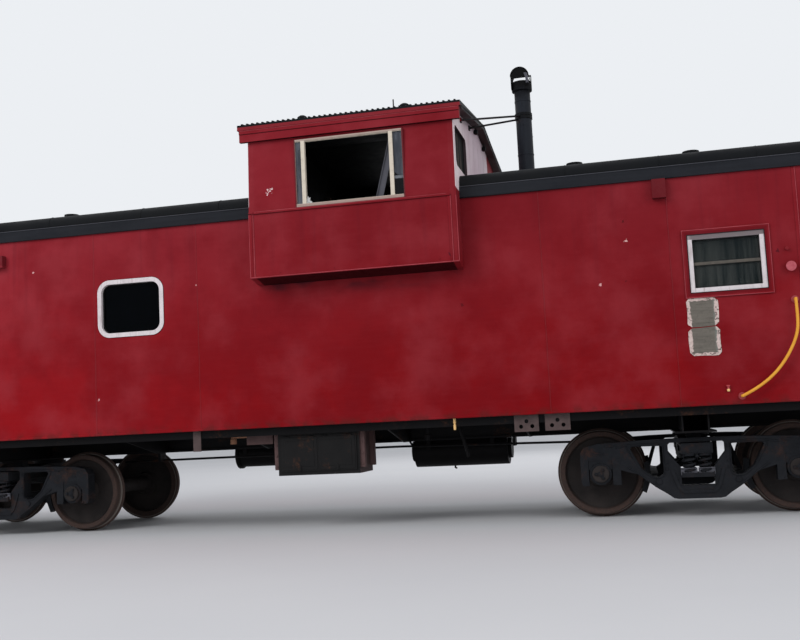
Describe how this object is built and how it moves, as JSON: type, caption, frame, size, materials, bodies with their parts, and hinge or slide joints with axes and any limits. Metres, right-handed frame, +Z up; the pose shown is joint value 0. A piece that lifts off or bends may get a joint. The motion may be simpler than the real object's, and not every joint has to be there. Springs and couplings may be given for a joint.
{
  "type": "caboose",
  "caption": "Railway caboose with a wide cupola, two swivelling trucks with sprung bolsters, end platforms with steps, hinged end doors and a smoke stack.",
  "frame": {"origin": "middle of the car on the plane that the wheel flanges touch", "axes": "+X along the car towards the end with the hand brake, +Y to the far side, +Z up"},
  "size_m": [12.264, 3.336, 4.9808],
  "materials": {
    "cast_steel": "matte, dusty",
    "wheel_steel": "rusty plate, bright tread",
    "underframe_paint": "matte black, dusty",
    "red_paint": "faded semi-gloss with chips",
    "pale_paint": "faded, stained",
    "roof_paint": "matte black",
    "frame_paint": "dull cream",
    "yellow_paint": "worn semi-gloss",
    "glass": "dusty",
    "floor_boards": "worn",
    "cabin_paint": "dull",
    "seat_cloth": "worn vinyl",
    "stove_iron": "matte",
    "bare_steel": "dull"
  },
  "bodies": {
    "car_body": {"body_bolsters": "underframe_paint", "brake_gear": "underframe_paint", "center_sill": "underframe_paint", "corner_rails": "yellow_paint", "couplers": "cast_steel", "crossbearers": "underframe_paint", "cupola_end_a": "pale_paint", "cupola_end_b": "pale_paint", "cupola_fascias": "red_paint", "cupola_frames": "frame_paint", "cupola_panes": "glass", "cupola_roof": "roof_paint", "cupola_side_far": "red_paint", "cupola_side_near": "red_paint", "door_hinges": "bare_steel", "end_sills": "underframe_paint", "end_wall_a": "red_paint", "end_wall_b": "red_paint", "equipment_box": "underframe_paint", "floor": "floor_boards", "hand_brake": "yellow_paint", "ladders": "yellow_paint", "lockers": "cabin_paint", "platforms": "underframe_paint", "railings": "yellow_paint", "roof_a": "roof_paint", "roof_b": "roof_paint", "roof_fittings": "roof_paint", "seats": "seat_cloth", "side_far": "red_paint", "side_fittings": "red_paint", "side_near": "red_paint", "side_sills": "underframe_paint", "stack": "roof_paint", "steps": "underframe_paint", "stove": "stove_iron", "window_frames": "frame_paint", "window_panes": "glass"},
    "truck_a": {"bearings_a": "cast_steel", "brake_beams_a": "cast_steel", "side_frames_a": "cast_steel", "springs_a": "cast_steel", "truck_bolster_a": "cast_steel"},
    "truck_b": {"bearings_b": "cast_steel", "brake_beams_b": "cast_steel", "side_frames_b": "cast_steel", "springs_b": "cast_steel", "truck_bolster_b": "cast_steel"},
    "wheelset_a1": {"wheels_a1": "wheel_steel", "axle_a1": "wheel_steel"},
    "wheelset_a2": {"wheels_a2": "wheel_steel", "axle_a2": "wheel_steel"},
    "door_a": {"door_a": "red_paint", "door_pane_a": "glass"},
    "wheelset_b1": {"wheels_b1": "wheel_steel", "axle_b1": "wheel_steel"},
    "wheelset_b2": {"wheels_b2": "wheel_steel", "axle_b2": "wheel_steel"},
    "door_b": {"door_b": "red_paint", "door_pane_b": "glass"}
  },
  "joints": [
    {"name": "truck_swivel_a", "type": "hinge", "parent": "car_body", "child": "truck_a", "pos_m": [-3.81, 0, 0.775], "axis": [0, 0, 1], "range_deg": [-5, 5]},
    {"name": "wheelset_spin_a1", "type": "hinge", "parent": "truck_a", "child": "wheelset_a1", "pos_m": [-4.735, 0, 0.4445], "axis": [0, 1, 0], "continuous": true},
    {"name": "wheelset_spin_a2", "type": "hinge", "parent": "truck_a", "child": "wheelset_a2", "pos_m": [-2.885, 0, 0.4445], "axis": [0, 1, 0], "continuous": true},
    {"name": "door_swing_a", "type": "hinge", "parent": "car_body", "child": "door_a", "pos_m": [-4.861, 0.354, 2.3], "axis": [0, 0, 1], "range_deg": [0, 90]},
    {"name": "truck_swivel_b", "type": "hinge", "parent": "car_body", "child": "truck_b", "pos_m": [3.81, 0, 0.775], "axis": [0, 0, 1], "range_deg": [-5, 5]},
    {"name": "wheelset_spin_b1", "type": "hinge", "parent": "truck_b", "child": "wheelset_b1", "pos_m": [2.885, 0, 0.4445], "axis": [0, 1, 0], "continuous": true},
    {"name": "wheelset_spin_b2", "type": "hinge", "parent": "truck_b", "child": "wheelset_b2", "pos_m": [4.735, 0, 0.4445], "axis": [0, 1, 0], "continuous": true},
    {"name": "door_swing_b", "type": "hinge", "parent": "car_body", "child": "door_b", "pos_m": [4.861, 0.354, 2.3], "axis": [0, 0, -1], "range_deg": [0, 90]}
  ]
}
